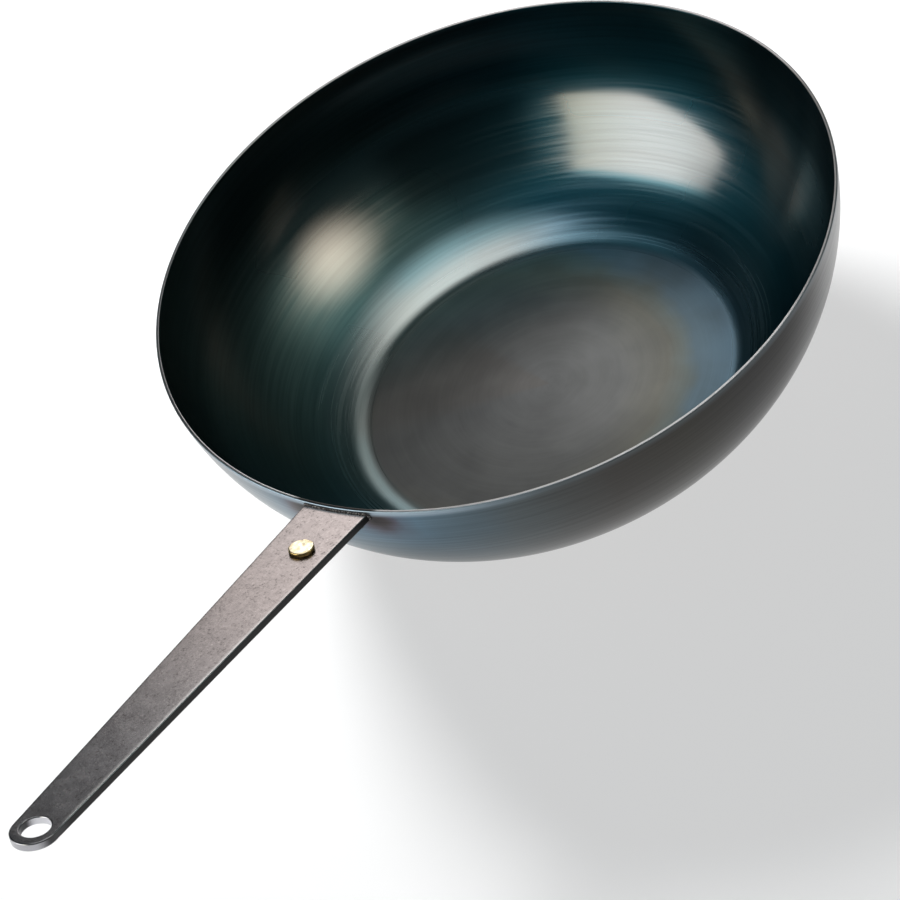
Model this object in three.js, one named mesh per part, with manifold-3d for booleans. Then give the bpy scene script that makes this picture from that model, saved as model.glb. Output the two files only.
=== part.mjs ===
// A deep, flat-based frying pan: a bowl of thin blued sheet steel with a flat iron bar for a handle.
//
// Millimetres, +Z up. The origin is the centre of the underside of the base, and the handle
// runs out along +X. The bar, the lug under it, the rivet and the welds share the handle's own
// frame: x along the bar from the wall, y to the side, z up from the bar's top face.

import * as THREE from 'three';
import { mergeVertices } from 'three/addons/utils/BufferGeometryUtils.js';
import Module from 'manifold-3d';

// Bowl
const RIM_RADIUS = 150; // outside of the wall at the rim
const BOWL_HEIGHT = 90; // underside of the base to the rim
const SHEET = 1.6; // thickness of the sheet steel
const BASE_FLAT_RADIUS = 82; // flat part of the base
const CORNER_RADIUS = 22; // outside radius of the turn from base to wall
const CORNER_TURN = 29; // degrees that the corner turns up before the wall's own arc takes over
const RIM_EDGE = 0.5; // rounding of the sheet's cut edge

// Handle bar
const BAR_SLOPE = 16; // degrees that the bar rises away from the bowl
const BAR_BELOW_RIM = 1.5; // step from the rim down to the bar's top face, at the wall
const BAR_LENGTH = 224; // wall to tip, along the bar
const BAR_ROOT_WIDTH = 30;
const BAR_TIP_WIDTH = 19;
const BAR_THICKNESS = 3.5;
const BAR_EDGE = 0.6; // rounding of the bar's edges
const BAR_ROOT_ROUND = 6; // corner radius of the blank's root end
const HANG_HOLE_DIAMETER = 12;
const HANG_HOLE_FROM_TIP = 10.5; // centre of the hole to the tip

// Lug that the rivet clamps under the bar
const LUG_WIDTH = 18;
const LUG_THICKNESS = 3;
const LUG_PAST_RIVET = 12; // rivet's axis to the end of the lug
const LUG_END_ROUND = 5;
const LUG_EDGE = 0.4;

// Rivet
const RIVET_FROM_WALL = 29; // along the bar
const RIVET_SIDEWAYS = 2; // off the bar's centre line
const RIVET_SHANK_DIAMETER = 6;
const RIVET_HEAD_DIAMETER = 10.6;
const RIVET_HEAD_HEIGHT = 2.2;
const RIVET_HEAD_CHAMFER = 0.6;
const RIVET_TAIL_DIAMETER = 10;
const RIVET_TAIL_HEIGHT = 2.4;

// Welds
const BAR_WELD_RADIUS = BAR_BELOW_RIM; // the bead fills the step up to the rim
const LUG_WELD_RADIUS = 2;

// Fits
const SEAT_GAP = 0.3; // between pieces that are joined or rest on each other
const RIVET_CLEARANCE = 0.3; // shank to hole, on the radius

// Facets
const TURN_STEPS = 72; // round the bowl
const WALL_STEPS = 12;
const CORNER_STEPS = 5;
const EDGE_STEPS = 2;
const OUTLINE_STEPS = 12; // along each arc of a plate's outline
const RIVET_STEPS = 32;
const DOME_STEPS = 4;
const BEAD_SIDES = 12;
const SEAM_STEPS = 10;
const MERGE_DISTANCE = 1e-4;

const wasm = await Module();
wasm.setup();

const degrees = THREE.MathUtils.degToRad;
const point = (x, y) => new THREE.Vector2(x, y);

// Closed solid of a three.js geometry, ready to be joined or cut.
function solidOf(geometry) {
  const bare = geometry.clone();
  bare.deleteAttribute('normal');
  bare.deleteAttribute('uv');
  const merged = mergeVertices(bare, MERGE_DISTANCE);
  const corners = [];
  for (let i = 0; i < merged.index.count; i += 3) {
    const [a, b, c] = [0, 1, 2].map((k) => merged.index.getX(i + k));
    if (a !== b && b !== c && c !== a) {
      corners.push(a, b, c);
    }
  }
  const vertProperties = Float32Array.from(merged.attributes.position.array);
  const triVerts = Uint32Array.from(corners);
  return new wasm.Manifold(new wasm.Mesh({ numProp: 3, vertProperties, triVerts }));
}

// three.js geometry of a joined or cut solid.
function geometryOf(solid) {
  const { vertProperties, triVerts } = solid.getMesh();
  const geometry = new THREE.BufferGeometry();
  geometry.setAttribute('position', new THREE.BufferAttribute(vertProperties, 3));
  geometry.setIndex(new THREE.BufferAttribute(triVerts, 1));
  geometry.computeVertexNormals();
  return geometry;
}

// Points of an arc after its first one, with angles in radians from the radial direction.
function arc(centre, radius, from, to, steps) {
  return Array.from({ length: steps }, (_, i) => {
    const angle = from + ((to - from) * (i + 1)) / steps;
    return point(centre.x + radius * Math.cos(angle), centre.y + radius * Math.sin(angle));
  });
}

// Solid of revolution about Z, from a profile of radius and height.
function revolve(profile, steps) {
  return new THREE.LatheGeometry(profile, steps).rotateX(Math.PI / 2);
}

// Flat plate of an outline, top face at z = 0, with rounded edges.
function plate(outline, thickness, edge) {
  const geometry = new THREE.ExtrudeGeometry(outline, {
    depth: thickness - 2 * edge,
    bevelThickness: edge,
    bevelSize: edge,
    bevelOffset: -edge,
    bevelSegments: EDGE_STEPS,
    curveSegments: OUTLINE_STEPS,
  });
  return geometry.translate(0, 0, edge - thickness);
}

function circle(x, y, radius) {
  return new THREE.Path().absarc(x, y, radius, 0, 2 * Math.PI);
}

// Bowl

// The corner arc stands on the flat, and the wall's arc runs on from it, without a kink, to the rim.
const cornerCentre = point(BASE_FLAT_RADIUS, CORNER_RADIUS);
const cornerTurn = degrees(CORNER_TURN);
const cornerAngle = cornerTurn - Math.PI / 2;
const [cornerEnd] = arc(cornerCentre, CORNER_RADIUS, -Math.PI / 2, cornerAngle, 1);
const chord = point(RIM_RADIUS, BOWL_HEIGHT).sub(cornerEnd);
const rimTurn = 2 * chord.angle() - cornerTurn;
const rimAngle = rimTurn - Math.PI / 2;
const wallRadius = chord.length() / (2 * Math.sin((rimTurn - cornerTurn) / 2));
const wallReach = wallRadius - CORNER_RADIUS;
const wallCentre = point(
  cornerCentre.x - wallReach * Math.cos(cornerAngle),
  cornerCentre.y - wallReach * Math.sin(cornerAngle),
);

// Outside of the bowl from the axis to an angle near the rim, moved out by a gap.
function outsideProfile(gap, endAngle) {
  return [
    point(0, -gap),
    point(BASE_FLAT_RADIUS, -gap),
    ...arc(cornerCentre, CORNER_RADIUS + gap, -Math.PI / 2, cornerAngle, CORNER_STEPS),
    ...arc(wallCentre, wallRadius + gap, cornerAngle, endAngle, WALL_STEPS),
  ];
}

function bowl() {
  const edge = Math.min(RIM_EDGE, SHEET / 2);
  const innerRadius = wallRadius - SHEET;
  const edgeAngle = rimAngle - edge / wallRadius;
  const outerEdge = arc(wallCentre, wallRadius - edge, edgeAngle, edgeAngle, 1)[0];
  const innerEdge = arc(wallCentre, innerRadius + edge, edgeAngle, edgeAngle, 1)[0];
  return revolve(
    [
      ...outsideProfile(0, edgeAngle),
      ...arc(outerEdge, edge, rimAngle, rimTurn, EDGE_STEPS),
      ...arc(innerEdge, edge, rimTurn, rimTurn + Math.PI / 2, EDGE_STEPS),
      ...arc(wallCentre, innerRadius, edgeAngle, cornerAngle, WALL_STEPS),
      ...arc(cornerCentre, CORNER_RADIUS - SHEET, cornerAngle, -Math.PI / 2, CORNER_STEPS),
      point(0, SHEET),
    ],
    TURN_STEPS,
  );
}

// Outside radius of the wall at a height above the base.
function wallRadiusAt(height) {
  return wallCentre.x + Math.sqrt(wallRadius ** 2 - (wallCentre.y - height) ** 2);
}

// Handle's frame

const slope = degrees(BAR_SLOPE);
const seatHeight = BOWL_HEIGHT - BAR_BELOW_RIM;
const handle = new THREE.Group();
handle.position.set(wallRadiusAt(seatHeight), 0, seatHeight);
handle.rotation.y = -slope;
handle.updateMatrix();

// The bowl filled up, a gap larger all round and taller than the rim: whatever meets the wall is cut by it.
function bowlCutter() {
  const above = BOWL_HEIGHT + BAR_ROOT_WIDTH;
  const outside = outsideProfile(SEAT_GAP, rimAngle);
  const rim = outside.at(-1);
  const filled = revolve([...outside, point(rim.x, above), point(0, above)], TURN_STEPS);
  return solidOf(filled.applyMatrix4(handle.matrix.clone().invert()));
}

const bowlCut = bowlCutter();

// Where the outside of the wall lies along the bar, at a side and a height in the handle's frame.
function wallAlongBar(y, z) {
  const rounds = 6;
  let x = 0;
  for (let i = 0; i < rounds; i += 1) {
    const radius = wallRadiusAt(seatHeight + x * Math.sin(slope) + z * Math.cos(slope));
    const reach = Math.sqrt(radius ** 2 - y ** 2);
    x = (reach - handle.position.x + z * Math.sin(slope)) / Math.cos(slope);
  }
  return x;
}

// Handle bar

// Straight sides that run, without a kink, into a round tip. The blank starts inside the wall.
function barOutline(gap) {
  const tipRadius = BAR_TIP_WIDTH / 2 + gap;
  const rootHalf = BAR_ROOT_WIDTH / 2 + gap;
  const start = -BAR_THICKNESS;
  const tip = point(BAR_LENGTH - BAR_TIP_WIDTH / 2, 0);
  const toTip = Math.hypot(tip.x, rootHalf);
  const taper = Math.acos(tipRadius / toTip) - Math.atan2(tip.x, rootHalf);
  const startHalf = rootHalf - start * Math.tan(taper);
  const round = BAR_ROOT_ROUND;
  const roundEnd = start + round;
  const side = rootHalf - roundEnd * Math.tan(taper);
  return new THREE.Shape()
    .moveTo(start, round - startHalf)
    .quadraticCurveTo(start, -startHalf, roundEnd, -side)
    .absarc(tip.x, tip.y, tipRadius, taper - Math.PI / 2, Math.PI / 2 - taper)
    .lineTo(roundEnd, side)
    .quadraticCurveTo(start, startHalf, start, startHalf - round);
}

const shankHole = circle(RIVET_FROM_WALL, RIVET_SIDEWAYS, RIVET_SHANK_DIAMETER / 2 + RIVET_CLEARANCE);
const hangHole = circle(BAR_LENGTH - HANG_HOLE_FROM_TIP, 0, HANG_HOLE_DIAMETER / 2);

function handleBar() {
  const outline = barOutline(0);
  outline.holes.push(shankHole, hangHole);
  return solidOf(plate(outline, BAR_THICKNESS, BAR_EDGE)).subtract(bowlCut);
}

// The bar without its holes, a gap larger all round.
function barCutter() {
  const block = plate(barOutline(SEAT_GAP), BAR_THICKNESS + 2 * SEAT_GAP, BAR_EDGE);
  return solidOf(block.translate(0, 0, SEAT_GAP));
}

// Lug

const lugTop = -BAR_THICKNESS - SEAT_GAP;
const lugBottom = lugTop - LUG_THICKNESS;

function lugOutline(gap) {
  const half = LUG_WIDTH / 2 + gap;
  const start = lugBottom;
  const end = RIVET_FROM_WALL + LUG_PAST_RIVET + gap;
  const round = LUG_END_ROUND;
  return new THREE.Shape()
    .moveTo(start, -half)
    .lineTo(end - round, -half)
    .absarc(end - round, round - half, round, -Math.PI / 2, 0)
    .absarc(end - round, half - round, round, 0, Math.PI / 2)
    .lineTo(start, half);
}

function handleLug() {
  const outline = lugOutline(0);
  outline.holes.push(shankHole);
  return solidOf(plate(outline, LUG_THICKNESS, LUG_EDGE).translate(0, 0, lugTop)).subtract(bowlCut);
}

function lugCutter() {
  const block = plate(lugOutline(SEAT_GAP), LUG_THICKNESS + 2 * SEAT_GAP, LUG_EDGE);
  return solidOf(block.translate(0, 0, lugTop + SEAT_GAP));
}

// Rivet: a flat head with a chamfer on the bar, a shank through bar and lug, a domed tail under the lug.
function handleRivet() {
  const shank = RIVET_SHANK_DIAMETER / 2;
  const head = RIVET_HEAD_DIAMETER / 2;
  const tail = RIVET_TAIL_DIAMETER / 2;
  const headTop = SEAT_GAP + RIVET_HEAD_HEIGHT;
  const tailTop = lugBottom - SEAT_GAP;
  const domeRadius = (tail ** 2 + RIVET_TAIL_HEIGHT ** 2) / (2 * RIVET_TAIL_HEIGHT);
  const domeCentre = point(0, tailTop - RIVET_TAIL_HEIGHT + domeRadius);
  const domeEnd = Math.asin(tail / domeRadius) - Math.PI / 2;
  const profile = [
    point(0, tailTop - RIVET_TAIL_HEIGHT),
    ...arc(domeCentre, domeRadius, -Math.PI / 2, domeEnd, DOME_STEPS),
    point(shank, tailTop),
    point(shank, SEAT_GAP),
    point(head, SEAT_GAP),
    point(head, headTop - RIVET_HEAD_CHAMFER),
    point(head - RIVET_HEAD_CHAMFER, headTop),
    point(0, headTop),
  ];
  return revolve(profile, RIVET_STEPS).translate(RIVET_FROM_WALL, RIVET_SIDEWAYS, 0);
}

// Welds

// Round bead along the wall, from one side and height to another, with round ends.
function bead(from, to, radius) {
  const onWall = Array.from({ length: SEAM_STEPS + 1 }, (_, i) => {
    const place = from.clone().lerp(to, i / SEAM_STEPS);
    return new THREE.Vector3(wallAlongBar(place.x, place.y), place.x, place.y);
  });
  const section = new THREE.Shape().absarc(0, 0, radius, 0, 2 * Math.PI);
  const run = new THREE.ExtrudeGeometry(section, {
    extrudePath: new THREE.CatmullRomCurve3(onWall),
    steps: SEAM_STEPS,
    curveSegments: BEAD_SIDES,
  });
  const ends = [onWall[0], onWall.at(-1)].map(({ x, y, z }) => {
    return solidOf(new THREE.SphereGeometry(radius, BEAD_SIDES, BEAD_SIDES / 2).translate(x, y, z));
  });
  return ends.reduce((whole, end) => whole.add(end), solidOf(run));
}

// Beads round three sides of a plate's end: up one side, across its face and down the other side.
function threeSidedBead(width, openZ, faceZ, radius) {
  const half = width / 2;
  const across = bead(point(-half, faceZ), point(half, faceZ), radius);
  const left = bead(point(-half, openZ), point(-half, faceZ), radius);
  const right = bead(point(half, openZ), point(half, faceZ), radius);
  return across.add(left).add(right);
}

function handleWeld() {
  const beads = threeSidedBead(BAR_ROOT_WIDTH, -BAR_THICKNESS, 0, BAR_WELD_RADIUS);
  return beads.subtract(bowlCut).subtract(barCutter());
}

function lugWeld() {
  const beads = threeSidedBead(LUG_WIDTH, lugTop, lugBottom, LUG_WELD_RADIUS);
  return beads.subtract(bowlCut).subtract(barCutter()).subtract(lugCutter());
}

// Finishes

const bluedSteel = { color: 0x2b3a42, roughness: 0.35, metalness: 1 };
const millIron = { color: 0x6b6462, roughness: 0.6, metalness: 1 };
const weldSteel = { color: 0x4a4745, roughness: 0.7, metalness: 1 };
const brass = { color: 0xc9a85c, roughness: 0.35, metalness: 1 };

function piece(name, geometry, finish) {
  const mesh = new THREE.Mesh(geometry, new THREE.MeshStandardMaterial(finish));
  mesh.name = name;
  return mesh;
}

handle.add(
  piece('handle_bar', geometryOf(handleBar()), millIron),
  piece('handle_lug', geometryOf(handleLug()), millIron),
  piece('handle_rivet', handleRivet(), brass),
  piece('handle_weld', geometryOf(handleWeld()), weldSteel),
  piece('lug_weld', geometryOf(lugWeld()), weldSteel),
);

const pan = new THREE.Group();
pan.add(piece('pan_bowl', bowl(), bluedSteel), handle);

export default pan;
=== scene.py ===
"""Looks of a deep iron frying pan: a blued sheet-steel bowl with a flat iron bar for a handle.

Metres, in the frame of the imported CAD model: the origin is the centre of the underside of the
base, +Z is up and the handle runs out along +X. The bar, its lug, the rivet and the welds are
drawn in the handle's own frame: x along the bar from the wall, y to the side, z up from the
bar's top face.
"""

import logging
import math
from dataclasses import dataclass
from enum import Enum
from functools import reduce
from typing import Any, Sequence, Union

import bmesh
import bpy
from mathutils import Matrix, Vector, noise


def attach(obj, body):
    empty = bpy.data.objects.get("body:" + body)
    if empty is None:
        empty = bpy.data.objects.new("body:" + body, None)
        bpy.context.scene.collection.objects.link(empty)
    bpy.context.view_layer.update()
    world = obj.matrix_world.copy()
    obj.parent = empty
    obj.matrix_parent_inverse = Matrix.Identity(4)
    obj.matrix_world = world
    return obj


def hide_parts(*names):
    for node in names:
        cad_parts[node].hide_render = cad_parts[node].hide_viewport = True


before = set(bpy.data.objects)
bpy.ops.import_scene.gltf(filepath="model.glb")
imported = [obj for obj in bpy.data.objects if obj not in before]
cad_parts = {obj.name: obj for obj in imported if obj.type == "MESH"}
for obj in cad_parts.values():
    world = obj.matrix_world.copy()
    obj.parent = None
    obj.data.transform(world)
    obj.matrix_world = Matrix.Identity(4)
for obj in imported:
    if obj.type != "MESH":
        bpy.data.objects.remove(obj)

Socket = bpy.types.NodeSocket
Material = bpy.types.Material
Mesh = bpy.types.Mesh
Piece = bpy.types.Object
Source = Union[Socket, float, Sequence[float]]
Triple = tuple[float, float, float]
Colour = Triple
Stops = tuple[tuple[float, Colour], ...]
# Start and end of a measure's range, then the results there
Ease = tuple[float, float, float, float]
# A value on the wall, and the one on the floor
Pair = tuple[float, float]

ROOT_BODY = "root"
LOG = logging.getLogger("pan")
QUARTER = math.pi / 2
WHITE: Colour = (1.0, 1.0, 1.0)
LEVEL: Triple = (1.0, 1.0, 0.0)


class Slot(Enum):
    """Material slots."""

    BOWL = "bowl_steel"
    BAR = "bar_iron"
    RIVET = "rivet_brass"
    WELD = "weld_steel"


class Mark(Enum):
    """Attributes that a piece's mesh carries for its finish."""

    INSIDE = "inside"
    RIM = "rim"


class Role(Enum):
    """What a soft light does: show in the metal, or light the matte floor."""

    SHEEN = "sheen"
    FLOOR = "floor"


class Output(Enum):
    """Output nodes, by what a shader tree belongs to."""

    MATERIAL = "ShaderNodeOutputMaterial"
    LIGHT = "ShaderNodeOutputLight"
    WORLD = "ShaderNodeOutputWorld"


# Node trees


class Nodes:
    """Short hand for one node tree, of a material, a light, the world or a modifier."""

    # Numbers of the Mix node's two colour inputs
    colour_a: int = 6
    colour_b: int = 7

    def __init__(self, tree: bpy.types.NodeTree) -> None:
        """Start from an empty tree."""
        self.tree = tree
        tree.nodes.clear()

    def feed(self, socket: Socket, source: Source) -> None:
        """Link a socket to its source, or set its value.

        Args:
            socket: the socket.
            source: another socket, or a value, which is three numbers for a colour.
        """
        if isinstance(source, Socket):
            self.tree.links.new(source, socket)
        elif socket.type == "RGBA":
            socket.default_value = (*source, 1.0)
        else:
            socket.default_value = source

    def add(self, kind: str, inputs: dict[Any, Source], **settings: Any) -> bpy.types.Node:
        """Add a node.

        Args:
            kind: Blender's name for the kind of node.
            inputs: sockets or values, by the input's name or number.
            settings: the node's own properties.

        Returns:
            The new node.
        """
        node = self.tree.nodes.new(kind)
        for name, value in settings.items():
            setattr(node, name, value)
        for name, source in inputs.items():
            self.feed(node.inputs[name], source)
        return node

    def out(self, kind: str, inputs: dict[Any, Source], **settings: Any) -> Socket:
        """First output of a new node, as add takes it."""
        return self.add(kind, inputs, **settings).outputs[0]

    def math(self, operation: str, *values: Source) -> Socket:
        """Output of a Math node."""
        return self.out("ShaderNodeMath", dict(enumerate(values)), operation=operation)

    def plus(self, a: Source, b: Source) -> Socket:
        """Sum of two numbers."""
        return self.math("ADD", a, b)

    def times(self, *factors: Source) -> Socket:
        """Product of numbers."""
        return reduce(lambda a, b: self.math("MULTIPLY", a, b), factors)

    def vector(self, operation: str, *values: Source) -> Socket:
        """Vector output of a Vector Math node."""
        return self.out("ShaderNodeVectorMath", dict(enumerate(values)), operation=operation)

    def measure(self, operation: str, *values: Source) -> Socket:
        """Number that a Vector Math node measures."""
        return self.add("ShaderNodeVectorMath", dict(enumerate(values)), operation=operation).outputs[1]

    def dot(self, a: Source, b: Source) -> Socket:
        """Dot product of two vectors."""
        return self.measure("DOT_PRODUCT", a, b)

    def scaled(self, vector: Source, factor: Source) -> Socket:
        """Vector times a number."""
        return self.out("ShaderNodeVectorMath", {"Vector": vector, "Scale": factor}, operation="SCALE")

    def combine(self, x: Source, y: Source, z: Source) -> Socket:
        """Vector from three numbers."""
        return self.out("ShaderNodeCombineXYZ", {"X": x, "Y": y, "Z": z})

    def split(self, vector: Source) -> tuple[Socket, ...]:
        """The three numbers of a vector."""
        return tuple(self.add("ShaderNodeSeparateXYZ", {"Vector": vector}).outputs)

    def point(self) -> Socket:
        """The shaded point, in object coordinates."""
        return self.add("ShaderNodeTexCoord", {}).outputs["Object"]

    def normal(self) -> Socket:
        """The shaded point's normal."""
        return self.add("ShaderNodeNewGeometry", {}).outputs["Normal"]

    def ease(self, value: Source, ease: Ease, smooth: bool = True) -> Socket:
        """Map a range of a number onto another range, held at both ends.

        Args:
            value: the number.
            ease: its range, and the results at the range's ends.
            smooth: ease in and out, or run straight.

        Returns:
            The mapped number.
        """
        ends = dict(zip(("From Min", "From Max", "To Min", "To Max"), ease))
        kind = "SMOOTHSTEP" if smooth else "LINEAR"
        return self.out("ShaderNodeMapRange", {"Value": value, **ends}, interpolation_type=kind)

    def ramp(self, value: Source, stops: Stops) -> Socket:
        """Colour along a ramp.

        Args:
            value: place on the ramp, 0 to 1.
            stops: places and colours, in order.

        Returns:
            The colour.
        """
        node = self.add("ShaderNodeValToRGB", {"Fac": value})
        elements = node.color_ramp.elements
        while len(elements) < len(stops):
            elements.new(1.0)
        for element, (place, colour) in zip(elements, stops):
            element.position = place
            element.color = (*colour, 1.0)
        return node.outputs["Color"]

    def mix(self, share: Source, a: Source, b: Source, blend: str = "MIX") -> Socket:
        """Mix of two colours, by the share of the second, in one of Blender's ways."""
        inputs = {0: share, self.colour_a: a, self.colour_b: b}
        return self.add("ShaderNodeMix", inputs, data_type="RGBA", blend_type=blend).outputs[2]

    def tinted(self, colour: Source, tint: Source) -> Socket:
        """Product of two colours."""
        return self.mix(1.0, colour, tint, "MULTIPLY")

    def shaded(self, colour: Source, level: Source) -> Socket:
        """Colour times a number."""
        return self.tinted(colour, self.combine(level, level, level))

    def blend(self, share: Source, a: Source, b: Source) -> Socket:
        """Mix of two numbers, by the share of the second."""
        return self.out("ShaderNodeMix", {0: share, 2: a, 3: b}, data_type="FLOAT")

    def noise(self, vector: Source, cells: float, detail: float = 3.0, w: Source | None = None,
              roughness: float = 0.5) -> Socket:
        """Noise from 0 to 1.

        Args:
            vector: place in the noise.
            cells: cells for each unit of it.
            detail: finer layers.
            w: place along a fourth axis.
            roughness: weight of the finer layers.

        Returns:
            The noise.
        """
        inputs = {"Vector": vector, "Scale": cells, "Detail": detail, "Roughness": roughness}
        if w is None:
            return self.out("ShaderNodeTexNoise", inputs, noise_dimensions="3D")
        return self.out("ShaderNodeTexNoise", {**inputs, "W": w}, noise_dimensions="4D")

    def bump(self, height: Source, depth: Source) -> Socket:
        """Normal that a height bends."""
        return self.out("ShaderNodeBump", {"Height": height, "Distance": depth, "Strength": 1.0})

    def surface(self, shader: Socket, output: Output = Output.MATERIAL) -> None:
        """Close the tree of a material, a light or the world."""
        self.add(output.value, {"Surface": shader})


def new_material(name: str) -> tuple[Material, Nodes]:
    """Empty material and its tree.

    Args:
        name: the finish.

    Returns:
        The material, and its tree.
    """
    material = bpy.data.materials.new(name)
    material.use_nodes = True
    return material, Nodes(material.node_tree)


def metal_shader(nodes: Nodes, colour: Source, rough: Source, **inputs: Source) -> None:
    """Close a material's tree with a metal of a colour and a roughness, and more inputs by name."""
    inputs |= {"Base Color": colour, "Metallic": 1.0, "Roughness": rough}
    nodes.surface(nodes.out("ShaderNodeBsdfPrincipled", inputs))


@dataclass(frozen=True)
class TurnedPlace:
    """Where a shaded point lies on a round piece, as sockets of a material's tree."""

    nodes: Nodes
    point: Socket
    level: Socket
    radius: Socket
    outward: Socket
    x: Socket
    y: Socket
    z: Socket
    streak_turn: Triple = (0.6, 0.5, 0.8)

    @classmethod
    def of(cls, nodes: Nodes) -> "TurnedPlace":
        """Sockets for a material's tree.

        Args:
            nodes: the tree.

        Returns:
            The place.
        """
        point = nodes.point()
        level = nodes.vector("MULTIPLY", point, LEVEL)
        outward = nodes.vector("NORMALIZE", level)
        return cls(nodes, point, level, nodes.measure("LENGTH", level), outward, *nodes.split(point))

    def towards(self, side: Triple, ease: Ease) -> Socket:
        """Ease along the cosine of the angle to a side."""
        return self.nodes.ease(self.nodes.dot(self.outward, side), ease)

    def up(self, ease: Ease) -> Socket:
        """Ease along the height."""
        return self.nodes.ease(self.z, ease)

    def out(self, ease: Ease) -> Socket:
        """Ease along the radius."""
        return self.nodes.ease(self.radius, ease)

    def streaks(self, length: float, width: float, detail: float) -> Socket:
        """Brush marks that run round the piece.

        Args:
            length: length of a mark, as a share of the radius.
            width: width of a mark.
            detail: finer layers of marks.

        Returns:
            The marks, 0 to 1.
        """
        nodes = self.nodes
        around = nodes.scaled(self.outward, 1.0 / length)
        across = nodes.combine(0.0, 0.0, nodes.math("DIVIDE", self.radius, width))
        inputs = {"Vector": nodes.vector("ADD", around, across), "Rotation": self.streak_turn}
        turned = nodes.out("ShaderNodeVectorRotate", inputs, rotation_type="EULER_XYZ")
        return nodes.noise(turned, 1.0, detail, nodes.math("DIVIDE", self.z, width))


# Finishes


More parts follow.
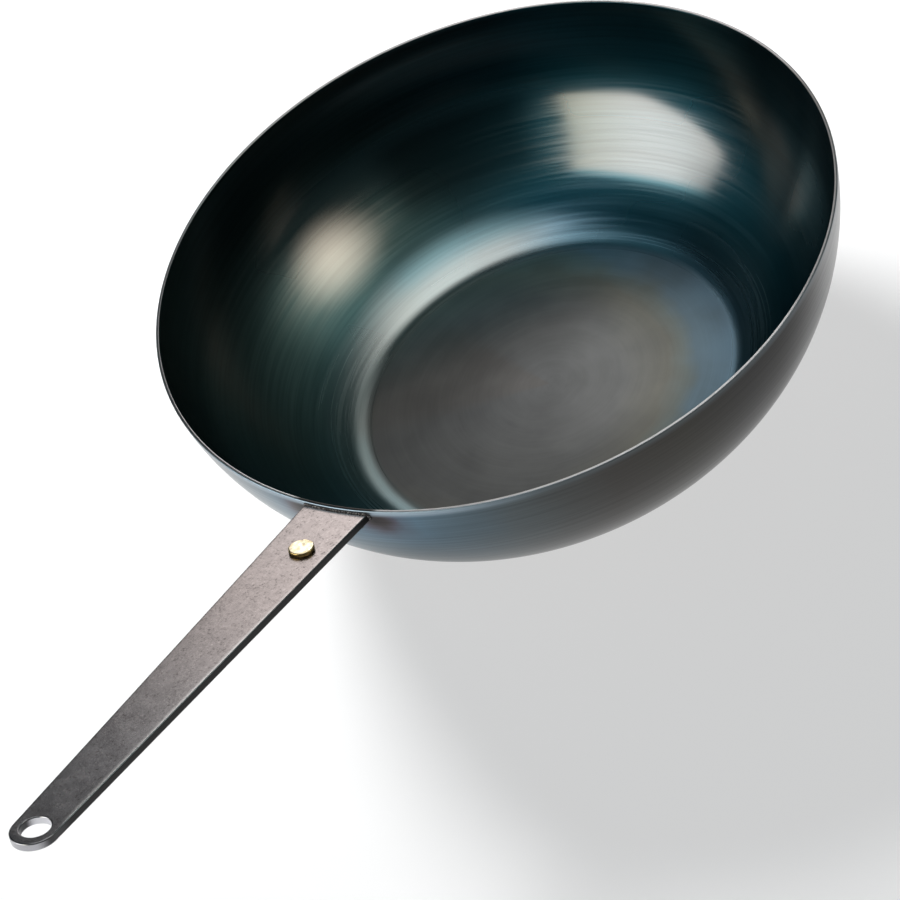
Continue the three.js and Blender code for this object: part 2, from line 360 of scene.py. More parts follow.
@dataclass(frozen=True)
class BluedSteel:
    """Blued and brushed sheet steel of the bowl: a plain sheen along the brush marks over deep teal.

    A side is a direction from the bowl's axis. Eases named turn, start or end run with the cosine of
    the angle to a side, those named up with the height, and those named out with the radius.
    """

    heat_centre: Triple = (0.012, -0.021, 0.0)
    heat_span: float = 0.190
    floor_highlight_spot: Triple = (-0.027, 0.026, 0.0016)
    bar_corner: Triple = (0.1480, 0.0165, 0.0840)
    scorch_span: float = 0.160
    bar_side: Triple = (1.0, 0.0, 0.0)
    far_side: Triple = (-0.72, -0.69, 0.0)
    shade_patch_side: Triple = (-0.766, -0.643, 0.0)
    cool_side: Triple = (-0.707, 0.707, 0.0)
    shadow_side: Triple = (0.087, -0.996, 0.0)
    flank_side: Triple = (-0.423, -0.906, 0.0)
    bright_side: Triple = (-0.906, -0.423, 0.0)
    painted_light_side: Triple = (-0.469, 0.883, 0.0)

    # Colours by heat on the floor, and by scorching from the bar; further round the outer wall these
    # colours darken, which is painted shade
    body_stops: Stops = (
        (0.00, (0.170, 0.168, 0.166)),
        (0.30, (0.170, 0.167, 0.162)),
        (0.40, (0.176, 0.173, 0.146)),
        (0.44, (0.165, 0.190, 0.180)),
        (0.48, (0.150, 0.212, 0.250)),
        (0.56, (0.145, 0.228, 0.286)),
        (0.64, (0.020, 0.105, 0.145)),
        (1.00, (0.018, 0.095, 0.130)),
    )
    tint_stops: Stops = (
        (0.00, (0.94, 1.00, 1.03)),
        (0.30, (0.95, 1.00, 1.00)),
        (0.40, (0.99, 1.00, 0.91)),
        (0.44, (0.92, 1.06, 1.02)),
        (0.48, (0.64, 0.90, 1.06)),
        (0.57, (0.60, 0.90, 1.14)),
        (0.66, (0.90, 0.98, 0.98)),
        (1.00, (0.90, 0.98, 0.98)),
    )
    scorch_and_shade_stops: Stops = (
        (0.00, (0.014, 0.012, 0.012)),
        (0.02, (0.038, 0.032, 0.034)),
        (0.038, (0.070, 0.068, 0.088)),
        (0.062, (0.090, 0.125, 0.165)),
        (0.105, (0.100, 0.165, 0.216)),
        (0.20, (0.106, 0.156, 0.190)),
        (0.36, (0.106, 0.126, 0.134)),
        (0.48, (0.090, 0.096, 0.096)),
        (0.62, (0.074, 0.071, 0.067)),
        (0.80, (0.066, 0.064, 0.058)),
        (1.00, (0.056, 0.055, 0.054)),
    )
    heat_wobble: Ease = (0.2, 0.8, -0.006, 0.006)

    # Deep colour, with painted shade toward the rim and on the shadow side, a painted glow low on one
    # flank, and a painted highlight on the outer lip
    wall_body: Colour = (0.016, 0.112, 0.155)
    shadow_body: Colour = (0.060, 0.108, 0.105)
    lip_highlight_tint: Colour = (0.32, 0.40, 0.46)
    glancing: Colour = (0.95, 0.95, 0.95)
    shadow_turn: Ease = (0.3, 0.9, 0.0, 1.0)
    painted_shade_up: Ease = (0.033, 0.075, 1.0, 0.48)
    behind_turn: Ease = (-0.985, -0.88, 1.0, 0.0)
    behind_up: Ease = (0.020, 0.052, 0.95, 1.05)
    flank_glow_turn: Ease = (0.93, 0.99, 0.0, 0.6)
    flank_glow_up: Ease = (0.022, 0.042, 1.0, 0.0)
    painted_shade_turn: Ease = (0.58, 0.82, 1.0, 0.5)
    lip_highlight_up: Ease = (0.0862, 0.0890, 0.0, 0.8)
    lip_highlight_scorch: Ease = (0.15, 0.50, 1.0, 0.2)

    # Sheen, whose strength is raised and lowered by side, height and radius as painted highlight and
    # painted shade
    wall_tint: Colour = (1.00, 0.93, 0.86)
    corner_tint: Colour = (1.00, 1.00, 0.95)
    low_tint: Colour = (0.86, 1.00, 0.99)
    flank_tint: Colour = (0.66, 1.00, 1.08)
    floor_sheen: float = 0.20
    sheen_turn: Ease = (0.22, 0.55, 0.084, 0.30)
    sheen_up: Ease = (0.048, 0.064, 1.0, 0.22)
    fall_up: Ease = (0.018, 0.032, 0.0, 1.0)
    low_fall_turn: Ease = (0.58, 0.82, 1.0, 0.25)
    high_fall_turn: Ease = (0.74, 0.86, 1.0, 0.25)
    glow_turn: Ease = (0.82, 0.91, 1.0, 2.2)
    glow_heart_turn: Ease = (0.935, 0.980, 1.0, 10.0)
    glow_up: Ease = (0.018, 0.042, 0.0, 1.0)
    glow_end: Ease = (0.93, 0.975, 0.0, 1.0)
    bend_turn: Ease = (0.3, 0.8, 0.381, 0.234)
    bend_end: Ease = (-0.85, -0.45, 0.72, 1.0)
    lift_start: Ease = (0.20, 0.45, 0.0, 0.9)
    lift_end: Ease = (0.55, 0.72, 1.0, 0.0)
    lift_out: Ease = (0.0915, 0.0955, 0.0, 1.0)
    corner_out: Ease = (0.090, 0.112, 1.0, 0.0)
    corner_turn: Ease = (-0.80, -0.40, 0.0, 1.0)
    flank_out: Ease = (0.092, 0.103, 0.0, 1.0)
    heated_turn: Ease = (0.1, 0.5, 0.0, 1.0)
    low_out: Ease = (0.104, 0.118, 1.0, 0.0)
    low_turn: Ease = (0.85, 0.95, 1.0, 0.3)
    steep_start: Ease = (0.75, 0.98, 6.5, 1.8)
    steep_end: Ease = (-0.75, -0.45, 3.2, 6.5)

    # Brush marks and mottle, with a painted floor highlight, a painted shade patch on the wall and a
    # painted reflection on the floor's far part
    fine_marks: Triple = (0.5, 0.0010, 2.0)
    broad_marks: Triple = (1.0, 0.004, 1.0)
    cloud_cells: float = 35.0
    far_reflection_tint: Colour = (0.66, 1.00, 1.10)
    floor_out: Ease = (0.080, 0.086, 1.0, 0.0)
    floor_highlight_reach: Ease = (0.012, 0.084, 1.28, 0.78)
    rubbed_cloud: Ease = (0.25, 0.75, 0.88, 1.12)
    rubbed_marks: Ease = (0.3, 0.7, -0.035, 0.035)
    mark_shade: Ease = (0.3, 0.7, -0.6, 0.6)
    mark_depth: Pair = (0.16, 0.04)
    shade_patch_turn: Ease = (0.940, 0.985, 0.0, 0.58)
    shade_patch_start_up: Ease = (0.016, 0.030, 0.0, 1.0)
    shade_patch_end_up: Ease = (0.047, 0.056, 1.0, 0.15)
    far_reflection_reach: Ease = (0.030, 0.080, 0.0, 1.0)

    # Gloss
    sheen_share: float = 0.5
    floor_gloss: float = 0.36
    drift: Ease = (0.3, 0.7, -0.015, 0.020)
    mark_gloss: Ease = (0.35, 0.75, -0.02, 0.05)
    dull_turn: Ease = (0.30, 0.60, 0.06, 0.0)
    gloss_out: Ease = (0.083, 0.112, 0.25, 0.14)
    outside_gloss: Ease = (0.0, 1.0, 0.30, 0.0)
    body_rough: Pair = (0.40, 0.54)
    body_brushed: Pair = (0.65, 0.0)
    sheen_brushed: Pair = (-0.35, 0.0)
    mark_height: Pair = (0.0000025, 0.000003)

    def inner_body(self, place: TurnedPlace, heat: Source, on_floor: Source) -> Socket:
        """Deep colour of the inside: heat colours on the floor, teal up the wall, painted shade darkening
        it to the rim, and a painted glow low on one flank.

        Args:
            place: where the shaded point lies.
            heat: place on the heat ramps.
            on_floor: share of the floor.

        Returns:
            The colour.
        """
        nodes = place.nodes
        # A greener copy of the deep colour on the shadow side: painted shade
        shadow = place.towards(self.shadow_side, self.shadow_turn)
        wall = nodes.mix(shadow, self.wall_body, self.shadow_body)
        # The deep colour darkens toward the rim and toward one side, less so behind the handle, and
        # brightens low on one flank: painted shade and a painted glow
        behind = place.towards(self.bar_side, self.behind_turn)
        painted_body_light = nodes.blend(behind, place.up(self.painted_shade_up), place.up(self.behind_up))
        flank_glow = nodes.times(place.towards(self.flank_side, self.flank_glow_turn), place.up(self.flank_glow_up))
        painted_body_light = nodes.times(nodes.plus(painted_body_light, flank_glow), place.towards(self.painted_light_side, self.painted_shade_turn))
        return nodes.mix(on_floor, nodes.shaded(wall, painted_body_light), nodes.ramp(heat, self.body_stops))

    def inner_sheen(self, place: TurnedPlace, heat: Source, on_floor: Source) -> Socket:
        """Colour of the sheen on the inside, its strength shaped by side, height and radius as painted
        highlight and painted shade.

        Args:
            place: where the shaded point lies.
            heat: place on the heat ramps.
            on_floor: share of the floor.

        Returns:
            The colour.
        """
        nodes = place.nodes
        cool = self.cool_side
        right = self.painted_light_side
        # The sheen grows toward the bright side, fades near the rim, drops toward one side and, in a narrow
        # band of sides and heights there, rises many times: painted highlight and painted shade
        fall = nodes.blend(place.up(self.fall_up), place.towards(right, self.low_fall_turn),
                           place.towards(right, self.high_fall_turn))
        glow = nodes.times(place.towards(right, self.glow_turn), place.towards(right, self.glow_heart_turn))
        glowing = nodes.times(place.up(self.glow_up), place.towards(cool, self.glow_end))
        wall = nodes.times(place.towards(self.bright_side, self.sheen_turn), place.up(self.sheen_up),
                           fall, nodes.blend(glowing, 1.0, glow))
        # The corner's sheen is stronger on one side and lifted further on part of it: painted highlight
        bend = nodes.times(place.towards(cool, self.bend_turn), place.towards(cool, self.bend_end))
        lift = nodes.times(place.towards(cool, self.lift_start), place.towards(cool, self.lift_end),
                           place.out(self.lift_out))
        bend = nodes.math("MULTIPLY_ADD", bend, lift, bend)
        level = nodes.blend(place.out(self.corner_out), wall, bend)
        level = nodes.blend(on_floor, level, self.floor_sheen)

        heated = nodes.ramp(heat, self.tint_stops)
        corner = nodes.mix(place.towards(cool, self.corner_turn), self.low_tint, self.corner_tint)
        corner = nodes.mix(place.out(self.flank_out), corner, self.flank_tint)
        corner = nodes.mix(place.towards(cool, self.heated_turn), corner, heated)
        low = nodes.times(place.out(self.low_out), place.towards(self.shadow_side, self.low_turn))
        tint = nodes.mix(low, self.wall_tint, nodes.mix(on_floor, corner, heated))
        return nodes.shaded(tint, level)

    def material(self) -> Material:
        """Build the finish.

        Returns:
            The finished material.
        """
        material, nodes = new_material("blued_steel")
        place = TurnedPlace.of(nodes)
        inside = nodes.add("ShaderNodeAttribute", {}, attribute_name=Mark.INSIDE.value).outputs["Fac"]
        fine = place.streaks(*self.fine_marks)
        broad = place.streaks(*self.broad_marks)
        cloud = nodes.noise(place.point, self.cloud_cells)
        wobble = nodes.ease(cloud, self.heat_wobble, smooth=False)
        on_floor = place.out(self.floor_out)
        floor = nodes.times(inside, on_floor)

        heat = nodes.plus(nodes.measure("DISTANCE", place.level, self.heat_centre), wobble)
        heat = nodes.math("DIVIDE", heat, self.heat_span)
        mirrored = nodes.combine(place.x, nodes.math("ABSOLUTE", place.y), place.z)
        scorch = nodes.plus(nodes.measure("DISTANCE", mirrored, self.bar_corner), wobble)
        scorch = nodes.math("DIVIDE", scorch, self.scorch_span)
        # Pale blue band on the outer wall just under the rim, strongest near the bar: painted highlight
        lip_highlight = nodes.times(place.up(self.lip_highlight_up), nodes.ease(scorch, self.lip_highlight_scorch))
        outer = nodes.mix(lip_highlight, nodes.ramp(scorch, self.scorch_and_shade_stops), self.lip_highlight_tint)

        # Painted highlight on the floor: brighter near one spot and darker away from it, times a random
        # mottle
        floor_highlight_and_mottle = nodes.ease(nodes.measure("DISTANCE", place.point, self.floor_highlight_spot), self.floor_highlight_reach)
        mottle_and_edge_highlight = nodes.plus(nodes.ease(cloud, self.rubbed_cloud), nodes.ease(broad, self.rubbed_marks))
        floor_highlight_and_mottle = nodes.blend(floor, 1.0, nodes.times(floor_highlight_and_mottle, mottle_and_edge_highlight))
        depth = nodes.blend(floor, *self.mark_depth)
        shade = nodes.math("MULTIPLY_ADD", nodes.ease(fine, self.mark_shade), depth, floor_highlight_and_mottle)
        # Darker patch on the wall between two highlights, at middle heights: painted shade
        shade_patch = nodes.times(place.towards(self.shade_patch_side, self.shade_patch_turn),
                             place.up(self.shade_patch_start_up), place.up(self.shade_patch_end_up), inside)
        shade = nodes.times(shade, nodes.math("SUBTRACT", 1.0, shade_patch))
        # The grain carries the brush marks and mottle together with the painted floor highlight and the
        # painted shade patch
        grain = nodes.combine(shade, shade, shade)
        # Teal tint on the far part of the floor, where it mirrors the wall: painted reflection
        far = nodes.times(floor, nodes.ease(nodes.dot(place.point, self.far_side), self.far_reflection_reach))
        grain = nodes.mix(far, grain, nodes.tinted(grain, self.far_reflection_tint))
        body = nodes.mix(inside, outer, self.inner_body(place, heat, on_floor))
        # The grazing brightening comes on sooner on one side and on the opposite side: painted highlight
        steep = nodes.math("MINIMUM", place.towards(self.painted_light_side, self.steep_start),
                           place.towards(self.painted_light_side, self.steep_end))
        grazing = nodes.add("ShaderNodeLayerWeight", {"Blend": 0.5}).outputs["Facing"]
        outer_sheen = nodes.mix(nodes.math("POWER", grazing, steep), outer, self.glancing)
        sheen = nodes.mix(inside, outer_sheen, self.inner_sheen(place, heat, on_floor))

        drift = nodes.ease(broad, self.drift)
        dull = place.towards(self.bright_side, self.dull_turn)
        marks = nodes.plus(nodes.ease(fine, self.mark_gloss), dull)
        marks = nodes.times(marks, nodes.math("SUBTRACT", inside, floor))
        gloss = nodes.math("MAXIMUM", place.out(self.gloss_out), nodes.times(floor, self.floor_gloss))
        gloss = nodes.math("MAXIMUM", gloss, nodes.ease(inside, self.outside_gloss))
        lie = {
            "Normal": nodes.bump(fine, nodes.blend(floor, *self.mark_height)),
            "Tangent": nodes.out("ShaderNodeTangent", {}, direction_type="RADIAL", axis="Z"),
        }
        deep = nodes.out("ShaderNodeBsdfPrincipled", {
            "Base Color": nodes.tinted(body, grain),
            "Metallic": 1.0,
            "Roughness": nodes.plus(nodes.blend(floor, *self.body_rough), drift),
            "Anisotropic": nodes.blend(floor, *self.body_brushed),
            **lie,
        })
        brushed = nodes.out("ShaderNodeBsdfAnisotropic", {
            "Color": nodes.tinted(sheen, grain),
            "Roughness": nodes.plus(gloss, nodes.plus(drift, marks)),
            "Anisotropy": nodes.blend(floor, *self.sheen_brushed),
            **lie,
        }, distribution="GGX")
        nodes.surface(nodes.out("ShaderNodeMixShader", {0: self.sheen_share, 1: deep, 2: brushed}))
        return material


@dataclass(frozen=True)
class CutEdge:
    """Bare steel of the sheet's cut edge at the rim, scaled dark where the handle is welded on, darker on
    the far side and on one shaded side as painted shade.
    """

    bare: Colour = (0.58, 0.58, 0.58)
    far_shade: Colour = (0.30, 0.30, 0.30)
    scaled: Colour = (0.060, 0.056, 0.053)
    front: Triple = (0.707, 0.707, 0.0)
    lit_front_turn: Ease = (0.1, 0.7, 0.0, 1.0)
    shaded_side: Triple = (-0.391, 0.921, 0.0)
    shaded_turn: Ease = (0.84, 0.93, 1.0, 0.5)
    weld_end: Ease = (0.0165, 0.0205, 1.0, 0.0)
    grain_cells: float = 900.0
    grain_rough: Ease = (0.3, 0.7, 0.30, 0.34)

    def material(self) -> Material:
        """Build the finish.

        Returns:
            The finished material.
        """
        material, nodes = new_material("rim_edge")
        place = TurnedPlace.of(nodes)
        grain = nodes.noise(place.point, self.grain_cells, detail=2.0)
        welded = nodes.times(nodes.ease(nodes.math("ABSOLUTE", place.y), self.weld_end),
                             nodes.math("GREATER_THAN", place.x, 0.0))
        # Darker on the far side and dimmed on one shaded side: painted shade; the dark scale by the weld is
        # the edge's own colour
        colour = nodes.mix(place.towards(self.front, self.lit_front_turn), self.far_shade, self.bare)
        colour = nodes.shaded(colour, place.towards(self.shaded_side, self.shaded_turn))
        colour = nodes.mix(welded, colour, self.scaled)
        metal_shader(nodes, colour, nodes.ease(grain, self.grain_rough))
        return material


@dataclass(frozen=True)
class MillIron:
    """Hot-rolled iron of the bar and lug: pitted faces, sides darkened by painted shade, a painted
    highlight along one edge and painted shade along the other, and a bare tip with painted highlight.
    """

    handle: "Handle"
    skin: Colour = (0.190, 0.170, 0.166)
    tip_skin: Colour = (0.160, 0.160, 0.166)
    speck: Colour = (0.270, 0.250, 0.243)
    pit: Colour = (0.075, 0.066, 0.064)
    side: Colour = (0.030, 0.029, 0.029)
    mottle_and_edge_highlight: Colour = (0.36, 0.36, 0.36)
    bare: Colour = (0.64, 0.64, 0.67)
    grain_cells: float = 1000.0
    grain_weight: float = 0.6
    mottle_cells: float = 330.0
    cloud_cells: float = 90.0
    tip_along: Ease = (0.200, 0.330, 0.0, 1.0)
    pit_grain: Ease = (0.34, 0.45, 0.9, 0.0)
    pit_mottle: Ease = (0.40, 0.58, 1.0, 0.35)
    pit_depth: float = 0.000018
    speck_grain: Ease = (0.56, 0.72, 0.0, 0.6)
    cloud_shade: Ease = (0.3, 0.7, 0.94, 1.06)
    mottle_shade: Ease = (0.3, 0.7, -0.09, 0.09)
    edge_highlight_start: Ease = (0.190, 0.270, 0.15, 0.8)
    edge_highlight_end: Ease = (0.345, 0.354, 1.0, 0.0)
    edge_highlight_in: Ease = (0.0006, 0.0022, 1.0, 0.0)
    edge_shade_in: Ease = (0.0003, 0.0012, 0.75, 0.0)
    face_rough: Ease = (0.3, 0.7, 0.24, 0.28)
    side_shade_turn: Ease = (0.45, 0.80, 1.0, 0.0)
    side_rough: Ease = (0.0, 1.0, 0.34, 0.16)
    bare_reach: Ease = (0.0085, 0.0135, 1.0, 0.0)
    bare_lit_turn: Ease = (0.25, 0.85, 0.06, 1.0)

    def skin_colour(self, nodes: Nodes, point: Source, grain: Source, cloud: Source) -> Socket:
        """Colour of the faces.

        Args:
            nodes: the material's tree.
            point: the shaded point.
            grain: fine noise.
            cloud: broad noise.

        Returns:
            The colour, warm at the root and grey at the tip, with a painted highlight along one edge and
            painted shade along the other.
        """
        handle = self.handle
        x, y, _ = nodes.split(point)
        mottle = nodes.noise(point, self.mottle_cells)
        colour = nodes.mix(nodes.ease(x, self.tip_along), self.skin, self.tip_skin)
        pits = nodes.times(nodes.ease(grain, self.pit_grain), nodes.ease(mottle, self.pit_mottle))
        colour = nodes.mix(pits, colour, self.pit)
        colour = nodes.mix(nodes.ease(grain, self.speck_grain), colour, self.speck)
        shade = nodes.plus(nodes.ease(cloud, self.cloud_shade), nodes.ease(mottle, self.mottle_shade))
        colour = nodes.shaded(colour, shade)
        taper = (handle.origin.x, handle.hole.x, handle.root_width / 2.0, handle.tip_width / 2.0)
        half = nodes.ease(x, taper, smooth=False)
        # A pale strip along one edge is a painted highlight, and a dark strip along the other is painted
        # shade
        along = nodes.times(nodes.ease(x, self.edge_highlight_start), nodes.ease(x, self.edge_highlight_end))
        near = nodes.ease(nodes.math("SUBTRACT", half, y), self.edge_highlight_in)
        colour = nodes.mix(nodes.times(near, along), colour, self.mottle_and_edge_highlight)
        return nodes.mix(nodes.ease(nodes.plus(half, y), self.edge_shade_in), colour, self.side)

    def material(self) -> Material:
        """Build the finish.

        Returns:
            The finished material.
        """
        material, nodes = new_material("mill_iron")
        point = nodes.point()
        normal = nodes.normal()
        grain = nodes.noise(point, self.grain_cells, roughness=self.grain_weight)
        cloud = nodes.noise(point, self.cloud_cells)
        colour = self.skin_colour(nodes, point, grain, cloud)
        # Side faces turn dark by their normal: painted shade
        facing = nodes.math("ABSOLUTE", nodes.dot(normal, self.handle.face))
        on_side = nodes.ease(facing, self.side_shade_turn)
        # Near the tip the sides show bare metal where they turn out along the handle and stay dark
        # elsewhere: bare metal with painted highlight
        away = nodes.measure("DISTANCE", point, self.handle.hole)
        bare_and_lit = nodes.times(nodes.ease(away, self.bare_reach),
                               nodes.ease(nodes.split(normal)[0], self.bare_lit_turn))
        colour = nodes.mix(on_side, colour, nodes.mix(bare_and_lit, self.side, self.bare))
        rough = nodes.blend(on_side, nodes.ease(cloud, self.face_rough),
                            nodes.ease(bare_and_lit, self.side_rough))
        metal_shader(nodes, colour, rough, Normal=nodes.bump(grain, self.pit_depth))
        return material


@dataclass(frozen=True)
class HammeredBrass:
    """Brass of the rivet, burnished pale on its hammered head with duller patches, and darker on the sides
    as painted shade.
    """

    face: Vector
    clean: Colour = (0.61, 0.54, 0.39)
    dull: Colour = (0.50, 0.40, 0.23)
    side: Colour = (0.46, 0.33, 0.12)
    cloud_cells: float = 500.0
    dull_cloud: Ease = (0.45, 0.70, 0.0, 0.6)
    side_shade_turn: Ease = (0.55, 0.90, 1.0, 0.0)
    cloud_rough: Ease = (0.3, 0.7, 0.22, 0.36)
    grain_cells: float = 2500.0
    grain_depth: float = 0.00002

    def material(self) -> Material:
        """Build the finish.

        Returns:
            The finished material.
        """
        material, nodes = new_material("hammered_brass")
        point = nodes.point()
        cloud = nodes.noise(point, self.cloud_cells)
        grain = nodes.noise(point, self.grain_cells, detail=2.0)
        colour = nodes.mix(nodes.ease(cloud, self.dull_cloud), self.clean, self.dull)
        # Sides of the head turn darker by their normal: painted shade
        facing = nodes.dot(nodes.normal(), self.face)
        colour = nodes.mix(nodes.ease(facing, self.side_shade_turn), colour, self.side)
        rough = nodes.ease(cloud, self.cloud_rough)
        metal_shader(nodes, colour, rough, Normal=nodes.bump(grain, self.grain_depth))
        return material


@dataclass(frozen=True)
class WeldMetal:
    """Weld beads, dark and rough with scale."""

    scale: Colour = (0.050, 0.046, 0.044)
    bright: Colour = (0.34, 0.33, 0.33)
    grain_cells: float = 1600.0
    bright_grain: Ease = (0.5, 0.7, 0.0, 0.8)
    grain_rough: Ease = (0.3, 0.7, 0.55, 0.40)
    grain_depth: float = 0.0001

    def material(self) -> Material:
        """Build the finish.

        Returns:
            The finished material.
        """
        material, nodes = new_material("weld_metal")
        grain = nodes.noise(nodes.point(), self.grain_cells)
        colour = nodes.mix(nodes.ease(grain, self.bright_grain), self.scale, self.bright)
        rough = nodes.ease(grain, self.grain_rough)
        metal_shader(nodes, colour, rough, Normal=nodes.bump(grain, self.grain_depth))
        return material


# Mesh helpers


def arc(centre: Vector, radius: float, start: float, end: float, steps: int) -> list[Vector]:
    """Points of an arc after its first one.

    Args:
        centre: centre of the arc, in its plane.
        radius: its radius.
        start: first angle, in radians from the first axis.
        end: last angle.
        steps: number of points.

    Returns:
        The points, in two dimensions.
    """
    angles = [start + (end - start) * (i + 1) / steps for i in range(steps)]
    return [centre + radius * Vector((math.cos(a), math.sin(a))) for a in angles]


def new_piece(name: str, data: bpy.types.ID) -> Piece:
    """Object of a mesh or other data, in the scene and at the origin.

    Args:
        name: name of the object.
        data: its data.

    Returns:
        The object.
    """
    piece = bpy.data.objects.new(name, data)
    bpy.context.scene.collection.objects.link(piece)
    return piece


def path_piece(name: str, points: Sequence[Vector], marks: dict[Mark, list[float]]) -> Piece:
    """Piece whose mesh is one open run of edges.

    Args:
        name: name of the piece.
        points: points of the run, in order.
        marks: numbers at each point, by attribute.

    Returns:
        The piece.
    """
    mesh = bpy.data.meshes.new(name)
    edges = [(i, i + 1) for i in range(len(points) - 1)]
    mesh.from_pydata([tuple(p) for p in points], edges, [])
    for mark, values in marks.items():
        mesh.attributes.new(mark.value, "FLOAT", "POINT").data.foreach_set("value", values)
    return new_piece(name, mesh)


def made_mesh(piece: Piece, name: str) -> Mesh:
    """Mesh of a piece as its modifiers leave it.

    Args:
        piece: the piece.
        name: name of the mesh.

    Returns:
        The mesh.
    """
    graph = bpy.context.evaluated_depsgraph_get()
    mesh = bpy.data.meshes.new_from_object(piece.evaluated_get(graph))
    mesh.name = name
    return mesh


def face_outwards(mesh: Mesh, merge: float) -> None:
    """Merge a closed mesh's doubles and turn its faces outwards.

    Args:
        mesh: the mesh.
        merge: distance under which points are doubles.
    """
    work = bmesh.new()
    work.from_mesh(mesh)
    bmesh.ops.remove_doubles(work, verts=work.verts, dist=merge)
    bmesh.ops.dissolve_degenerate(work, edges=work.edges, dist=merge)
    bmesh.ops.recalc_face_normals(work, faces=work.faces)
    work.to_mesh(mesh)
    work.free()


def fit(piece: Piece, slot: Slot, *nodes: str) -> None:
    """Attach a piece to the root body, hide the CAD nodes that it replaces, and log it.

    Args:
        piece: the piece.
        slot: not used.
        nodes: the CAD nodes that it replaces.
    """
    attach(piece, ROOT_BODY)
    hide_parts(*nodes)
    LOG.info("%s: %d faces, stands for %s", piece.name, len(piece.data.polygons), ", ".join(nodes))


# Geometry node trees


class ModifierTree:
    """A geometry node tree with named inputs, and its use on a piece."""

    def __init__(self, name: str, inputs: dict[str, str]) -> None:
        """Start a tree with a mesh in and out, and more inputs.

        Args:
            name: name of the tree.
            inputs: kind of each input, by its name.
        """
        self.group = bpy.data.node_groups.new(name, "GeometryNodeTree")
        self.nodes = Nodes(self.group)
        interface = self.group.interface
        for way in ("INPUT", "OUTPUT"):
            interface.new_socket("Mesh", in_out=way, socket_type="NodeSocketGeometry")
        self.identifiers: dict[str, str] = {}
        for label, kind in inputs.items():
            socket = interface.new_socket(label, in_out="INPUT", socket_type="NodeSocket" + kind)
            self.identifiers[label] = socket.identifier
        self.given = self.nodes.add("NodeGroupInput", {}).outputs

    def dress(self, geometry: Socket) -> Socket:
        """Make a geometry smooth and real, and give it its finish.

        Args:
            geometry: the geometry.

        Returns:
            The dressed geometry.
        """
        smooth = self.nodes.out("GeometryNodeSetShadeSmooth", {"Geometry": geometry})
        real = self.nodes.out("GeometryNodeRealizeInstances", {"Geometry": smooth})
        inputs = {"Geometry": real, "Material": self.given["Finish"]}
        return self.nodes.out("GeometryNodeSetMaterial", inputs)

    def close(self, geometry: Socket) -> None:
        """Send a geometry to the output."""
        self.nodes.add("NodeGroupOutput", {"Mesh": geometry})

    def apply(self, piece: Piece, values: dict[str, Any]) -> None:
        """Turn a piece's mesh into what the tree makes of it.

        Args:
            piece: the object, whose mesh goes into the tree.
            values: the tree's named inputs.
        """
        modifier = piece.modifiers.new(self.group.name, "NODES")
        modifier.node_group = self.group
        for name, value in values.items():
            modifier[self.identifiers[name]] = value
        made = made_mesh(piece, piece.name)
        piece.modifiers.remove(modifier)
        piece.data = made


class TurningTree(ModifierTree):
    """Turns a section, drawn in the XZ plane, round the Z axis."""

    rim_share: float = 0.75

    def __init__(self) -> None:
        """Build the tree."""
        super().__init__("Turn section round axis", {
            "Steps": "Int",
            "Path Radius": "Float",
            "Merge Distance": "Float",
            "Finish": "Material",
            "Rim Finish": "Material",
        })
        nodes = self.nodes
        given = self.given
        radius = given["Path Radius"]
        laid = nodes.out("GeometryNodeTransform", {
            "Geometry": given["Mesh"],
            "Translation": nodes.combine(nodes.times(radius, -1.0), 0.0, 0.0),
            "Rotation": (QUARTER, 0.0, 0.0),
        })
        section = nodes.out("GeometryNodeMeshToCurve", {"Mesh": laid})
        circle = {"Resolution": given["Steps"], "Radius": radius}
        path = nodes.out("GeometryNodeCurvePrimitiveCircle", circle)
        path = nodes.out("GeometryNodeSetCurveNormal", {"Curve": path}, mode="Z_UP")
        swept = nodes.out("GeometryNodeCurveToMesh", {"Curve": path, "Profile Curve": section})
        doubles = {"Geometry": swept, "Distance": given["Merge Distance"]}
        merged = nodes.out("GeometryNodeMergeByDistance", doubles)
        rim = nodes.out("GeometryNodeInputNamedAttribute", {"Name": Mark.RIM.value}, data_type="FLOAT")
        self.close(nodes.out("GeometryNodeSetMaterial", {
            "Geometry": self.dress(merged),
            "Selection": nodes.math("GREATER_THAN", rim, self.rim_share),
            "Material": given["Rim Finish"],
        }))


